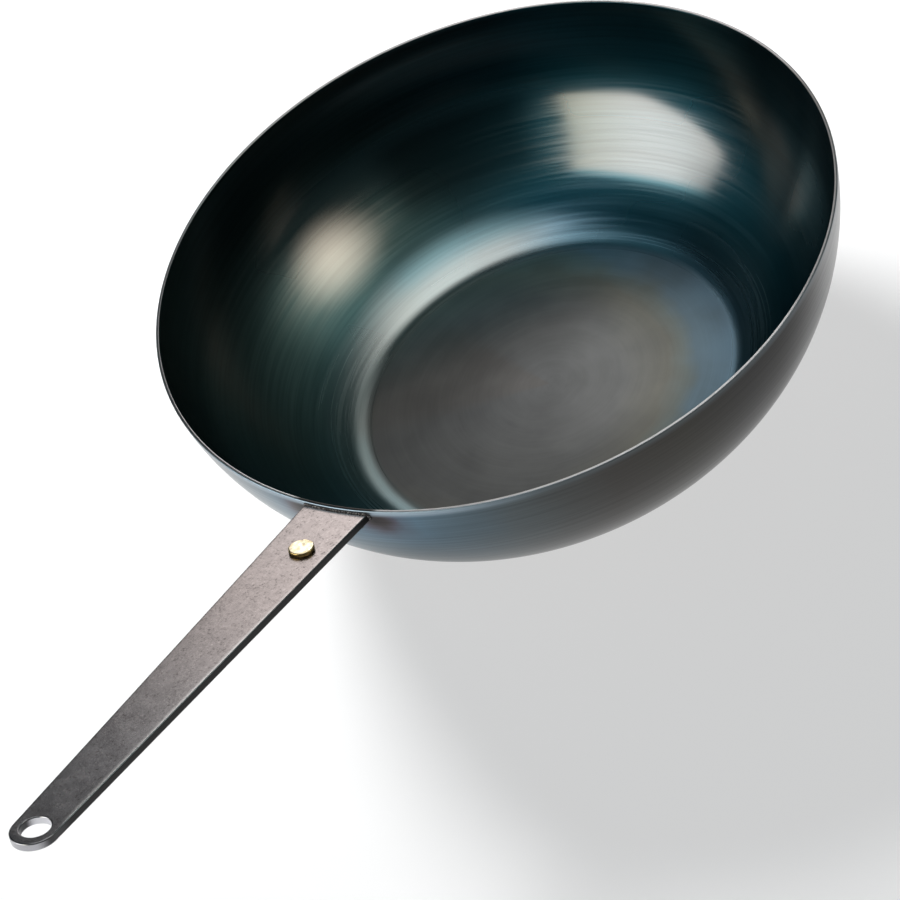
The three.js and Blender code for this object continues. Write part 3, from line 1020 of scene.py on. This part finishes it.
class BeadTree(ModifierTree):
    """Lays a rippled weld bead along a path of edges."""

    lump_cells: float = 450.0
    rough_cells: float = 1400.0
    middle: float = 0.5
    taper: Ease = (0.0, 0.03, 0.35, 1.0)

    def __init__(self) -> None:
        """Build the tree."""
        super().__init__("Weld bead along path", {
            "Radius": "Float",
            "Ripple Pitch": "Float",
            "Ripple Height": "Float",
            "Lump Height": "Float",
            "Step": "Float",
            "Sides": "Int",
            "Seed": "Float",
            "Finish": "Material",
        })
        nodes = self.nodes
        given = self.given
        curve = nodes.out("GeometryNodeMeshToCurve", {"Mesh": given["Mesh"]})
        step = {"Curve": curve, "Length": given["Step"]}
        path = nodes.out("GeometryNodeResampleCurve", step, mode="LENGTH")
        run = nodes.add("GeometryNodeSplineParameter", {}).outputs
        turns = nodes.math("DIVIDE", run["Length"], given["Ripple Pitch"])
        wave = nodes.math("ABSOLUTE", nodes.math("SINE", nodes.times(turns, math.pi)))
        ripple = nodes.times(nodes.math("SUBTRACT", wave, self.middle), given["Ripple Height"])
        radius = nodes.plus(given["Radius"], nodes.plus(ripple, self.lumps(self.lump_cells, 1.0)))
        from_end = nodes.math("PINGPONG", run["Factor"], self.middle)
        section = {"Resolution": given["Sides"], "Radius": 1.0}
        swept = nodes.out("GeometryNodeCurveToMesh", {
            "Curve": path,
            "Profile Curve": nodes.out("GeometryNodeCurvePrimitiveCircle", section),
            "Scale": nodes.times(radius, nodes.ease(from_end, self.taper)),
            "Fill Caps": True,
        })
        normal = nodes.out("GeometryNodeInputNormal", {})
        push = nodes.scaled(normal, self.lumps(self.rough_cells, 2.0))
        lumpy = nodes.out("GeometryNodeSetPosition", {"Geometry": swept, "Offset": push})
        self.close(self.dress(lumpy))

    def lumps(self, cells: float, detail: float) -> Socket:
        """Seeded height of the lumps, half of them hollows.

        Args:
            cells: lumps for each metre.
            detail: finer layers of lumps.

        Returns:
            The height.
        """
        place = self.nodes.out("GeometryNodeInputPosition", {})
        lumps = self.nodes.noise(place, cells, detail, self.given["Seed"])
        return self.nodes.times(self.nodes.math("SUBTRACT", lumps, self.middle), self.given["Lump Height"])


# Bowl


@dataclass
class Bowl:
    """The bowl: one sheet of steel, with a flat base, a tight corner and a long curved wall."""

    turning: TurningTree
    rim_radius: float = 0.150
    height: float = 0.090
    sheet: float = 0.0016
    base_flat_radius: float = 0.082
    corner_radius: float = 0.022
    corner_turn: float = math.radians(29.0)
    rim_edge: float = 0.0005
    # Angle by which the rim's inner arc starts early, in radians
    rim_overlap: float = 0.0005
    floor_rings: int = 10
    corner_steps: int = 14
    wall_steps: int = 48
    edge_steps: int = 6
    turn_steps: int = 384
    merge: float = 0.00002

    def __post_init__(self) -> None:
        """Work out the two arcs of the section."""
        self.corner_centre = Vector((self.base_flat_radius, self.corner_radius))
        self.corner_angle = self.corner_turn - QUARTER
        corner_end = arc(self.corner_centre, self.corner_radius, -QUARTER, self.corner_angle, 1)[0]
        chord = Vector((self.rim_radius, self.height)) - corner_end
        self.rim_turn = 2.0 * math.atan2(chord.y, chord.x) - self.corner_turn
        self.rim_angle = self.rim_turn - QUARTER
        self.wall_radius = chord.length / (2.0 * math.sin((self.rim_turn - self.corner_turn) / 2.0))
        reach = self.wall_radius - self.corner_radius
        aim = Vector((math.cos(self.corner_angle), math.sin(self.corner_angle)))
        self.wall_centre = self.corner_centre - reach * aim

    def radius_at(self, height: float) -> float:
        """Outside radius of the wall at a height above the base."""
        drop = self.wall_centre.y - height
        return self.wall_centre.x + math.sqrt(self.wall_radius ** 2 - drop ** 2)

    def side(self, depth: float, end_angle: float) -> list[Vector]:
        """One face of the sheet, from the axis to near the rim.

        Args:
            depth: how far the face lies inside the sheet's outer face.
            end_angle: angle on the wall's arc where it ends.

        Returns:
            Points of radius and height.
        """
        rings = [Vector((self.base_flat_radius * i / self.floor_rings, depth))
                 for i in range(self.floor_rings + 1)]
        corner = arc(self.corner_centre, self.corner_radius - depth, -QUARTER, self.corner_angle,
                     self.corner_steps)
        wall = arc(self.wall_centre, self.wall_radius - depth, self.corner_angle, end_angle,
                   self.wall_steps)
        return rings + corner + wall

    def build(self, finish: Material, rim_finish: Material) -> None:
        """Turn the section and dress it.

        Args:
            finish: finish of both faces.
            rim_finish: finish of the cut edge.
        """
        edge = self.rim_edge
        edge_angle = self.rim_angle - edge / self.wall_radius
        outside = self.side(0.0, edge_angle)
        inside = self.side(self.sheet, edge_angle)[::-1]
        inner_radius = self.wall_radius - self.sheet
        out_centre = arc(self.wall_centre, self.wall_radius - edge, edge_angle, edge_angle, 1)[0]
        in_centre = arc(self.wall_centre, inner_radius + edge, edge_angle, edge_angle, 1)[0]
        rim = arc(out_centre, edge, self.rim_angle, self.rim_turn, self.edge_steps)
        inner_start = self.rim_turn - self.rim_overlap
        rim += arc(in_centre, edge, inner_start, self.rim_turn + QUARTER, self.edge_steps)[:-1]
        section = [Vector((p.x, 0.0, p.y)) for p in outside + rim + inside]
        on_rim = [0.0] * (len(outside) + self.edge_steps - 1) + [1.0] * (self.edge_steps - 2)
        on_rim += [0.0] * (len(section) - len(on_rim))
        is_inside = [0.0] * (len(outside) + len(rim) // 2)
        is_inside += [1.0] * (len(section) - len(is_inside))
        bowl = path_piece("bowl_spun", section, {Mark.RIM: on_rim, Mark.INSIDE: is_inside})
        self.turning.apply(bowl, {
            "Steps": self.turn_steps,
            "Path Radius": self.rim_radius,
            "Merge Distance": self.merge,
            "Finish": finish,
            "Rim Finish": rim_finish,
        })
        face_outwards(bowl.data, self.merge)
        fit(bowl, Slot.BOWL, "pan_bowl")


# Handle


@dataclass
class Handle:
    """The handle: a tapered bar, the lug under its root, the rivet through both, and the welds."""

    bowl: Bowl
    slope: float = math.radians(16.0)
    below_rim: float = 0.0015
    length: float = 0.22390
    root_width: float = 0.030
    tip_width: float = 0.019
    thickness: float = 0.0035
    edge: float = 0.0006
    hole_radius: float = 0.006
    hole_from_tip: float = 0.01040
    lug_width: float = 0.018
    lug_thickness: float = 0.003
    lug_past_rivet: float = 0.012
    lug_round: float = 0.005
    lug_edge: float = 0.0004
    rivet_from_wall: float = 0.029
    rivet_sideways: float = 0.002
    shank_radius: float = 0.003
    shank_clearance: float = 0.0003
    seat_gap: float = 0.0003
    outline_steps: int = 40
    edge_steps: int = 5
    root_steps: int = 16
    seam_side_steps: int = 6
    seam_face_steps: int = 30
    wall_rounds: int = 8
    flat_weight: int = 100
    merge: float = 0.00001

    def __post_init__(self) -> None:
        """Work out the handle's frame."""
        seat = self.bowl.height - self.below_rim
        self.origin = Vector((self.bowl.radius_at(seat), 0.0, seat))
        self.frame = Matrix.Translation(self.origin) @ Matrix.Rotation(-self.slope, 4, "Y")
        self.lug_top = -self.thickness - self.seat_gap
        self.lug_bottom = self.lug_top - self.lug_thickness
        self.face = self.frame.to_3x3() @ Vector((0.0, 0.0, 1.0))
        self.hole = self.frame @ Vector((self.length - self.hole_from_tip, 0.0, -self.thickness / 2.0))

    def wall_along_bar(self, y: float, z: float) -> float:
        """Where the outside of the wall lies along the bar.

        Args:
            y: place to the side.
            z: height from the bar's top face.

        Returns:
            The place along the bar.
        """
        x = 0.0
        for _ in range(self.wall_rounds):
            height = self.origin.z + x * math.sin(self.slope) + z * math.cos(self.slope)
            reach = math.sqrt(self.bowl.radius_at(height) ** 2 - y ** 2)
            x = (reach - self.origin.x + z * math.sin(self.slope)) / math.cos(self.slope)
        return x

    def circle(self, x: float, y: float, radius: float) -> list[Vector]:
        """Closed outline of a round hole."""
        return arc(Vector((x, y)), radius, 0.0, 2.0 * math.pi, 2 * self.outline_steps)

    def shank_hole(self) -> list[Vector]:
        """Closed outline of the rivet's hole."""
        radius = self.shank_radius + self.shank_clearance
        return self.circle(self.rivet_from_wall, self.rivet_sideways, radius)

    def root_end(self, half: float, z: float) -> list[Vector]:
        """Root edge of a plate of a half width at a height, cut to the wall, from side to side."""
        sides = [half - 2.0 * half * i / self.root_steps for i in range(self.root_steps + 1)]
        return [Vector((self.wall_along_bar(y, z) + self.seat_gap, y)) for y in sides]

    def plate(self, name: str, outlines: Sequence[Sequence[Vector]], top: float, thickness: float,
              edge: float) -> Piece:
        """Flat plate with rounded edges and its root leant along the wall, in the handle's frame.

        Args:
            name: name of the piece.
            outlines: the outline, then its holes.
            top: height of its top face, at which its outline is drawn.
            thickness: its thickness.
            edge: rounding of its edges.

        Returns:
            The piece.
        """
        curve = bpy.data.curves.new(name, "CURVE")
        curve.dimensions = "2D"
        curve.fill_mode = "BOTH"
        curve.extrude = thickness / 2.0 - edge
        curve.bevel_depth = edge
        curve.bevel_resolution = self.edge_steps
        curve.offset = -edge
        for outline in outlines:
            spline = curve.splines.new("POLY")
            spline.points.add(len(outline) - 1)
            spline.use_cyclic_u = True
            for target, place in zip(spline.points, outline):
                target.co = (place.x, place.y, 0.0, 1.0)
        drawing = new_piece(name + "_drawing", curve)
        mesh = made_mesh(drawing, name)
        bpy.data.objects.remove(drawing)
        bpy.data.curves.remove(curve)
        mesh.transform(Matrix.Translation((0.0, 0.0, top - thickness / 2.0)))
        reach = self.root_width / 2.0
        for vertex in mesh.vertices:
            place = vertex.co
            wall = self.wall_along_bar(place.y, top)
            near = max(0.0, 1.0 - (place.x - wall) / reach)
            place.x += near * (self.wall_along_bar(place.y, place.z) - wall)
        return new_piece(name, mesh)

    def place(self, piece: Piece, finish: Material, merge: float) -> None:
        """Close a piece's mesh, move it into the pan's frame and dress it.

        Args:
            piece: the piece, in the handle's frame.
            finish: its finish.
            merge: distance under which its points are doubles.
        """
        face_outwards(piece.data, merge)
        piece.data.transform(self.frame)
        piece.data.materials.clear()
        piece.data.materials.append(finish)
        for polygon in piece.data.polygons:
            polygon.use_smooth = True
        flat = piece.modifiers.new("flat_faces", "WEIGHTED_NORMAL")
        flat.weight = self.flat_weight
        mesh = made_mesh(piece, piece.name)
        piece.modifiers.remove(flat)
        piece.data = mesh

    def bar_outline(self) -> list[Vector]:
        """Outline of the bar: coped root, straight sides that run into a round tip.

        Returns:
            The points, in order.
        """
        tip_radius = self.tip_width / 2.0
        root_half = self.root_width / 2.0
        tip = Vector((self.length - tip_radius, 0.0))
        reach = math.hypot(tip.x, root_half)
        taper = math.acos(tip_radius / reach) - math.atan2(tip.x, root_half)
        start = arc(tip, tip_radius, taper - QUARTER, taper - QUARTER, 1)
        nose = arc(tip, tip_radius, taper - QUARTER, QUARTER - taper, self.outline_steps)
        return self.root_end(root_half, 0.0) + start + nose

    def build_bar(self, finish: Material) -> None:
        """The bar, with its hanging hole and the rivet's hole.

        Args:
            finish: its finish.
        """
        hanging = self.circle(self.length - self.hole_from_tip, 0.0, self.hole_radius)
        outlines = [self.bar_outline(), self.shank_hole(), hanging]
        bar = self.plate("bar_forged", outlines, 0.0, self.thickness, self.edge)
        self.place(bar, finish, self.merge)
        fit(bar, Slot.BAR, "handle_bar")

    def build_lug(self, finish: Material) -> None:
        """The lug that the rivet clamps under the bar.

        Args:
            finish: its finish.
        """
        half = self.lug_width / 2.0
        bend = self.lug_round
        straight = self.rivet_from_wall + self.lug_past_rivet - bend
        steps = self.outline_steps // 2
        outline = self.root_end(half, self.lug_top) + [Vector((straight, -half))]
        outline += arc(Vector((straight, bend - half)), bend, -QUARTER, 0.0, steps)
        outline += arc(Vector((straight, half - bend)), bend, 0.0, QUARTER, steps)
        outlines = [outline, self.shank_hole()]
        lug = self.plate("lug_tongue", outlines, self.lug_top, self.lug_thickness, self.lug_edge)
        self.place(lug, finish, self.merge)
        fit(lug, Slot.BAR, "handle_lug")

    def seam(self, width: float, open_z: float, face_z: float, lift: float) -> list[Vector]:
        """Path of a weld round three sides of a plate's end, on the wall, in the handle's frame.

        Args:
            width: width of the plate.
            open_z: height where the weld starts and ends.
            face_z: height of the face that it crosses.
            lift: how far the path stands off the wall.

        Returns:
            The points, in order.
        """
        half = width / 2.0
        up = self.seam_side_steps
        over = self.seam_face_steps
        rise = [(half, open_z + (face_z - open_z) * i / up) for i in range(up)]
        across = [(half - width * i / over, face_z) for i in range(over + 1)]
        fall = [(-y, z) for y, z in reversed(rise)]
        return [Vector((self.wall_along_bar(y, z) + lift, y, z)) for y, z in rise + across + fall]


@dataclass
class Rivet:
    """The rivet: a hammered flat head on the bar, a shank, and a domed tail under the lug."""

    turning: TurningTree
    handle: Handle
    head_radius: float = 0.0053
    head_height: float = 0.0017
    head_chamfer: float = 0.0005
    tail_radius: float = 0.0050
    tail_height: float = 0.0024
    hammer_depth: float = 0.00013
    hammer_scale: float = 420.0
    hammer_middle: float = 0.5
    wobble: float = 0.03
    wobble_scale: float = 300.0
    wobble_start: Triple = (9.0, 2.0, 5.0)
    turn_steps: int = 96
    rings: int = 14
    chamfer_steps: int = 6

    def section(self) -> list[Vector]:
        """Section from the tail's pole to the head's.

        Returns:
            Points of radius and height.
        """
        handle = self.handle
        shank = handle.shank_radius
        seat = handle.seat_gap
        top = seat + self.head_height
        tail_top = handle.lug_bottom - seat
        pole = tail_top - self.tail_height
        dome = (self.tail_radius ** 2 + self.tail_height ** 2) / (2.0 * self.tail_height)
        dome_end = math.asin(self.tail_radius / dome) - QUARTER
        bend = self.head_chamfer
        flat = self.head_radius - bend
        points = [Vector((0.0, pole))]
        points += arc(Vector((0.0, pole + dome)), dome, -QUARTER, dome_end, self.rings)
        points += [Vector((shank, tail_top)), Vector((shank, seat)), Vector((self.head_radius, seat))]
        points += [Vector((self.head_radius, top - bend))]
        points += arc(Vector((flat, top - bend)), bend, 0.0, QUARTER, self.chamfer_steps)
        points += [Vector((flat * (1.0 - (i + 1) / self.rings), top)) for i in range(self.rings)]
        return points

    def build(self, finish: Material) -> None:
        """Turn the rivet, hammer its head, and set it in its hole.

        Args:
            finish: its finish.
        """
        handle = self.handle
        section = [Vector((p.x, 0.0, p.y)) for p in self.section()]
        rivet = path_piece("rivet_hammered", section, {Mark.RIM: [0.0] * len(section)})
        self.turning.apply(rivet, {
            "Steps": self.turn_steps,
            "Path Radius": self.head_radius,
            "Merge Distance": handle.merge,
            "Finish": finish,
            "Rim Finish": finish,
        })
        start = Vector(self.wobble_start)
        for vertex in rivet.data.vertices:
            place = vertex.co
            if place.z > handle.seat_gap:
                place.z -= self.hammer_depth * (self.hammer_middle + noise.noise(place * self.hammer_scale))
                wobble = 1.0 + self.wobble * noise.noise(place * self.wobble_scale + start)
                place.x *= min(1.0, wobble)
                place.y *= min(1.0, wobble)
        rivet.data.transform(Matrix.Translation((handle.rivet_from_wall, handle.rivet_sideways, 0.0)))
        handle.place(rivet, finish, handle.merge)
        fit(rivet, Slot.RIVET, "handle_rivet")


@dataclass
class Weld:
    """A weld bead round three sides of a plate's root end."""

    bead: BeadTree
    handle: Handle
    name: str
    node: str
    width: float
    open_z: float
    face_z: float
    radius: float
    lift: float = 0.0
    ripple_pitch: float = 0.0013
    ripple_height: float = 0.00025
    lump_height: float = 0.0004
    step: float = 0.00022
    sides: int = 20
    seed: float = 3.0
    merge: float = 0.000005

    def build(self, finish: Material) -> None:
        """Lay the bead along the seam and dress it.

        Args:
            finish: its finish.
        """
        seam = self.handle.seam(self.width, self.open_z, self.face_z, self.lift)
        weld = path_piece(self.name, seam, {})
        self.bead.apply(weld, {
            "Radius": self.radius,
            "Ripple Pitch": self.ripple_pitch,
            "Ripple Height": self.ripple_height,
            "Lump Height": self.lump_height,
            "Step": self.step,
            "Sides": self.sides,
            "Seed": self.seed,
            "Finish": finish,
        })
        self.handle.place(weld, finish, self.merge)
        fit(weld, Slot.WELD, self.node)


# Studio


@dataclass
class SoftLight:
    """A soft light that faces the pan from a direction.

    Each of its edges is a direction across it and how far along that the light ends. Its fringe is
    such a line too, past which the light takes the fringe's colour.
    """

    name: str
    azimuth: float
    elevation: float
    width: float
    height: float
    radiance: float
    colour: Colour = WHITE
    distance: float = 1.3
    round: bool = False
    feather: float = 0.05
    fall: float = 0.0
    fall_power: float = 1.4
    spin: float = 0.0
    squareness: float = 4.0
    edges: tuple[Triple, ...] = ()
    edge_half: float = 0.035
    far_colour: Colour | None = None
    fringe: Triple | None = None
    fringe_start: float = 0.02
    fringe_end: float = 0.03
    fringe_colour: Colour = (0.30, 0.56, 0.64)
    role: Role = Role.SHEEN
    aim: Triple = (0.0, 0.0, 0.05)

    def soften(self, lamp: bpy.types.Light) -> None:
        """Let the light fade out towards its edges, over its feather's share of the half size.

        Args:
            lamp: the light's data.
        """
        lamp.use_nodes = True
        nodes = Nodes(lamp.node_tree)
        place = nodes.point()
        across = nodes.vector("DIVIDE", place, (self.width / 2.0, self.height / 2.0, 1.0))
        u, v, _ = nodes.split(nodes.vector("ABSOLUTE", across))
        power = 2.0 if self.round else self.squareness
        reach = nodes.plus(nodes.math("POWER", u, power), nodes.math("POWER", v, power))
        reach = nodes.math("POWER", reach, 1.0 / power)
        heart = nodes.math("SUBTRACT", 1.0, nodes.times(nodes.math("POWER", u, self.fall_power), self.fall))
        fade = nodes.times(nodes.ease(reach, (1.0 - self.feather, 1.0, 1.0, 0.0)),
                           nodes.math("MAXIMUM", heart, 0.0))
        half = self.edge_half
        for x, y, limit in self.edges:
            past = nodes.dot(place, (x, y, 0.0))
            fade = nodes.times(fade, nodes.ease(past, (limit - half, limit + half, 1.0, 0.0)))
        colour: Source = WHITE
        if self.far_colour:
            far = nodes.ease(nodes.split(place)[0], (0.0, self.width / 2.0, 0.0, 1.0))
            colour = nodes.mix(far, WHITE, self.far_colour)
        if self.fringe:
            x, y, limit = self.fringe
            past = nodes.dot(place, (x, y, 0.0))
            past = nodes.ease(past, (limit - self.fringe_start, limit + self.fringe_end, 0.0, 1.0))
            colour = nodes.mix(past, colour, self.fringe_colour)
        nodes.surface(nodes.out("ShaderNodeEmission", {"Color": colour, "Strength": fade}), Output.LIGHT)

    def build(self) -> None:
        """Place the light."""
        lamp = bpy.data.lights.new(self.name, "AREA")
        lamp.shape = "ELLIPSE" if self.round else "RECTANGLE"
        lamp.size = self.width
        lamp.size_y = self.height
        area = self.width * self.height * (math.pi / 4.0 if self.round else 1.0)
        lamp.energy = self.radiance * math.pi * area
        lamp.color = self.colour
        self.soften(lamp)
        light = new_piece(self.name, lamp)
        azimuth = math.radians(self.azimuth)
        elevation = math.radians(self.elevation)
        level = math.cos(elevation)
        towards = Vector((level * math.cos(azimuth), level * math.sin(azimuth), math.sin(elevation)))
        turn = towards.to_track_quat("Z", "Y").to_matrix().to_4x4()
        spin = Matrix.Rotation(math.radians(self.spin), 4, "Z")
        light.matrix_world = Matrix.Translation(Vector(self.aim) + self.distance * towards) @ turn @ spin
        light.visible_camera = False
        light.visible_diffuse = self.role is Role.FLOOR
        light.visible_glossy = self.role is Role.SHEEN


@dataclass
class Studio:
    """Pale floor, soft lights, a plain world and the camera."""

    floor_radius: float = 6.0
    floor_segments: int = 128
    floor_drop: float = 0.0002
    floor_cells: float = 30.0
    floor_pale: Ease = (0.2, 0.8, 0.93, 0.95)
    floor_white: Ease = (0.5, 2.0, 0.61, 1.0)
    lens: float = 156.25
    camera_azimuth: float = math.radians(133.7604)
    camera_elevation: float = math.radians(43.3162)
    camera_roll: float = math.radians(-24.6028)
    camera_distance: float = 1.60854
    camera_aim: Triple = (0.09064, 0.01534, 0.06204)
    sky: Stops = (
        (0.0, (0.9, 0.9, 0.9)),
        (0.05, (0.5, 0.5, 0.5)),
        (0.12, (0.012, 0.030, 0.038)),
        (1.0, (0.006, 0.022, 0.030)),
    )
    side_edges: tuple[Triple, ...] = (
        (-0.046, -0.999, 0.395),
        (-0.391, -0.920, 0.347),
        (-0.964, 0.267, 0.645),
        (-0.098, 0.995, 0.434),
        (0.970, 0.242, 0.674),
    )
    side_fringe: Triple = (-0.098, 0.995, 0.372)

    def lights(self) -> list[SoftLight]:
        """List the soft lights.

        Returns:
            The lights, not yet built.
        """
        return [
            SoftLight("overhead", azimuth=157.0, elevation=80.4, width=1.48, height=1.76, radiance=2.80,
                      round=True, feather=0.72),
            SoftLight("side", azimuth=-36.8, elevation=27.4, width=1.76, height=1.06, radiance=4.1,
                      colour=(1.0, 0.975, 0.955), fall=0.45, spin=18.0, squareness=12.0,
                      edges=self.side_edges, far_colour=(1.0, 1.0, 0.82), fringe=self.side_fringe),
            SoftLight("round", azimuth=106.0, elevation=35.0, width=1.0, height=1.0, radiance=4.0,
                      colour=(1.0, 0.885, 0.77), round=True, feather=1.0),
            SoftLight("halo", azimuth=125.0, elevation=38.0, width=1.6, height=1.4, radiance=0.66,
                      colour=(0.50, 1.0, 0.99), round=True, feather=1.0),
            SoftLight("back", azimuth=211.0, elevation=24.0, width=0.66, height=1.1, radiance=3.85,
                      colour=(1.0, 0.95, 0.93), distance=1.4, feather=0.5),
            SoftLight("key", azimuth=238.0, elevation=25.0, width=1.1, height=1.1, radiance=106.0,
                      distance=2.5, round=True, feather=0.5, role=Role.FLOOR),
        ]

    def build_floor(self) -> None:
        """Round floor."""
        mesh = bpy.data.meshes.new("floor")
        work = bmesh.new()
        bmesh.ops.create_circle(work, cap_ends=True, radius=self.floor_radius, segments=self.floor_segments)
        work.to_mesh(mesh)
        work.free()
        mesh.transform(Matrix.Translation((0.0, 0.0, -self.floor_drop)))
        floor = new_piece("floor", mesh)
        material, nodes = new_material("pale_floor")
        point = nodes.point()
        pale = nodes.ease(nodes.noise(point, self.floor_cells, detail=2.0), self.floor_pale)
        matte = nodes.out("ShaderNodeBsdfDiffuse", {"Color": nodes.combine(pale, pale, pale)})
        white = nodes.out("ShaderNodeEmission", {"Color": WHITE, "Strength": 1.0})
        path = nodes.add("ShaderNodeLightPath", {}).outputs
        seen = nodes.plus(path["Is Camera Ray"], path["Is Glossy Ray"])
        seen = nodes.plus(seen, path["Is Transmission Ray"])
        share = nodes.times(nodes.math("MINIMUM", seen, 1.0),
                            nodes.ease(nodes.measure("LENGTH", point), self.floor_white))
        nodes.surface(nodes.out("ShaderNodeMixShader", {0: share, 1: matte, 2: white}))
        mesh.materials.append(material)

    def build_world(self) -> None:
        """World that is white at the horizon and dark above, and white to the camera."""
        world = bpy.data.worlds.new("studio")
        world.use_nodes = True
        bpy.context.scene.world = world
        nodes = Nodes(world.node_tree)
        direction = nodes.add("ShaderNodeTexCoord", {}).outputs["Generated"]
        height = nodes.ease(nodes.split(direction)[2], (0.0, 1.0, 0.0, 1.0), smooth=False)
        seen = nodes.add("ShaderNodeLightPath", {}).outputs["Is Camera Ray"]
        colour = nodes.mix(seen, nodes.ramp(height, self.sky), WHITE)
        nodes.surface(nodes.out("ShaderNodeBackground", {"Color": colour, "Strength": 1.0}), Output.WORLD)

    def build_camera(self) -> None:
        """Camera at the photograph's view."""
        data = bpy.data.cameras.new("camera")
        data.lens = self.lens
        camera = new_piece("camera", data)
        turn = Matrix.Rotation(self.camera_azimuth, 4, "Z")
        tilt = Matrix.Rotation(QUARTER - self.camera_elevation, 4, "X")
        roll = Matrix.Rotation(self.camera_roll, 4, "Z")
        back = Matrix.Translation((0.0, 0.0, self.camera_distance))
        camera.matrix_world = Matrix.Translation(self.camera_aim) @ turn @ tilt @ roll @ back
        bpy.context.scene.camera = camera

    def build(self) -> None:
        """Set up the floor, the lights, the world and the camera."""
        self.build_floor()
        for light in self.lights():
            light.build()
        self.build_world()
        self.build_camera()
        bpy.context.scene.view_settings.view_transform = "Standard"


def main() -> None:
    """Build the pan and its studio."""
    logging.basicConfig(level=logging.INFO, format="%(name)s %(message)s")
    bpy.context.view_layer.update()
    Studio().build()
    turning = TurningTree()
    bead = BeadTree()
    bowl = Bowl(turning)
    bowl.build(BluedSteel().material(), CutEdge().material())
    handle = Handle(bowl)
    iron = MillIron(handle).material()
    handle.build_bar(iron)
    handle.build_lug(iron)
    Rivet(turning, handle).build(HammeredBrass(handle.face).material())
    weld_metal = WeldMetal().material()
    bar_weld = Weld(bead, handle, "weld_bar_seam", "handle_weld", width=handle.root_width,
                    open_z=-handle.thickness, face_z=0.0, radius=0.0007)
    lug_weld = Weld(bead, handle, "weld_lug_seam", "lug_weld", width=handle.lug_width,
                    open_z=handle.lug_top, face_z=handle.lug_bottom, radius=0.0018, lift=0.0011)
    for weld in (bar_weld, lug_weld):
        weld.build(weld_metal)


if __name__ == "__main__":
    main()
